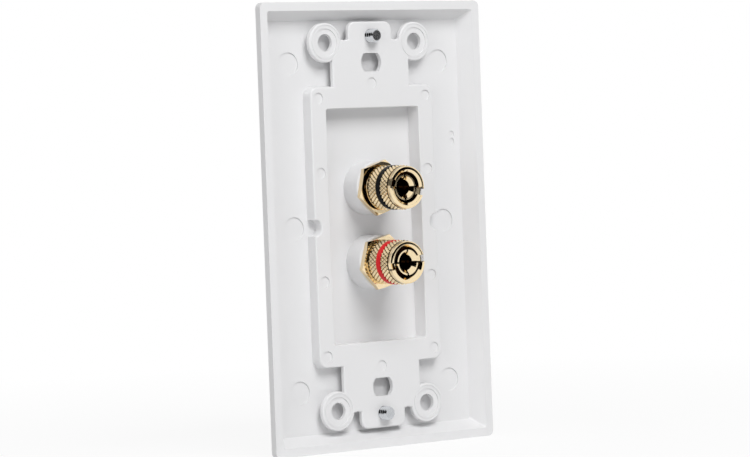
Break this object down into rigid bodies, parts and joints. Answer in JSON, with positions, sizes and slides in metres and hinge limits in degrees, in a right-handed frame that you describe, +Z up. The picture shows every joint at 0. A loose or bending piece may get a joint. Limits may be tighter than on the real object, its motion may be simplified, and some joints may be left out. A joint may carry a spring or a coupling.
{
  "type": "speaker terminal wall plate",
  "caption": "White wall plate with a strap-mounted insert and two double-ended gold screw-cap speaker terminals, one with a black band and one with a red band.",
  "frame": {"origin": "middle of the insert's mounting strap, on its rear face, halfway between the two box-screw slots", "axes": "+X to the right seen from the room, +Y from the room into the wall along the terminals, +Z up"},
  "size_m": [0.0698, 0.0311, 0.1142],
  "materials": {
    "plate_plastic": "glossy moulded ABS",
    "insert_plastic": "satin to glossy moulded ABS",
    "screw_steel": "bright zinc-plated steel",
    "gold_brass": "polished gold-plated brass",
    "black_plastic": "glossy black",
    "red_plastic": "glossy red"
  },
  "bodies": {
    "housing": {"wall_plate": "plate_plastic", "insert": "insert_plastic", "plate_screw_top": "screw_steel", "plate_screw_bottom": "screw_steel", "black_post": "gold_brass", "black_rear_nut": "gold_brass", "red_post": "gold_brass", "red_rear_nut": "gold_brass"},
    "black_rear_clamp": {"black_rear_washer": "gold_brass"},
    "black_rear_knob": {"black_rear_cap": "gold_brass", "black_rear_band": "black_plastic"},
    "black_front_clamp": {"black_front_washer": "gold_brass"},
    "black_front_knob": {"black_front_cap": "gold_brass", "black_front_band": "black_plastic"},
    "red_rear_clamp": {"red_rear_washer": "gold_brass"},
    "red_rear_knob": {"red_rear_cap": "gold_brass", "red_rear_band": "red_plastic"},
    "red_front_clamp": {"red_front_washer": "gold_brass"},
    "red_front_knob": {"red_front_cap": "gold_brass", "red_front_band": "red_plastic"}
  },
  "joints": [
    {"name": "black_rear_travel", "type": "slide", "parent": "housing", "child": "black_rear_clamp", "axis": [0, 1, 0], "range_m": [-0.0009, 0.0041]},
    {"name": "black_rear_turn", "type": "hinge", "parent": "black_rear_clamp", "child": "black_rear_knob", "pos_m": [0, 0.00675, 0.00953], "axis": [0, 1, 0], "range_deg": [-324, 1476]},
    {"name": "black_front_travel", "type": "slide", "parent": "housing", "child": "black_front_clamp", "axis": [0, -1, 0], "range_m": [0, 0.005]},
    {"name": "black_front_turn", "type": "hinge", "parent": "black_front_clamp", "child": "black_front_knob", "pos_m": [0, -0.0117, 0.00953], "axis": [0, -1, 0], "range_deg": [0, 1800]},
    {"name": "red_rear_travel", "type": "slide", "parent": "housing", "child": "red_rear_clamp", "axis": [0, 1, 0], "range_m": [0, 0.005]},
    {"name": "red_rear_turn", "type": "hinge", "parent": "red_rear_clamp", "child": "red_rear_knob", "pos_m": [0, 0.00675, -0.00953], "axis": [0, 1, 0], "range_deg": [0, 1800]},
    {"name": "red_front_travel", "type": "slide", "parent": "housing", "child": "red_front_clamp", "axis": [0, -1, 0], "range_m": [0, 0.005]},
    {"name": "red_front_turn", "type": "hinge", "parent": "red_front_clamp", "child": "red_front_knob", "pos_m": [0, -0.0117, -0.00953], "axis": [0, -1, 0], "range_deg": [0, 1800]}
  ],
  "couplings": [
    {"joint": "black_rear_travel", "follows": "black_rear_turn", "m_per_rad": 0.00015915},
    {"joint": "black_front_travel", "follows": "black_front_turn", "m_per_rad": 0.00015915},
    {"joint": "red_rear_travel", "follows": "red_rear_turn", "m_per_rad": 0.00015915},
    {"joint": "red_front_travel", "follows": "red_front_turn", "m_per_rad": 0.00015915}
  ]
}
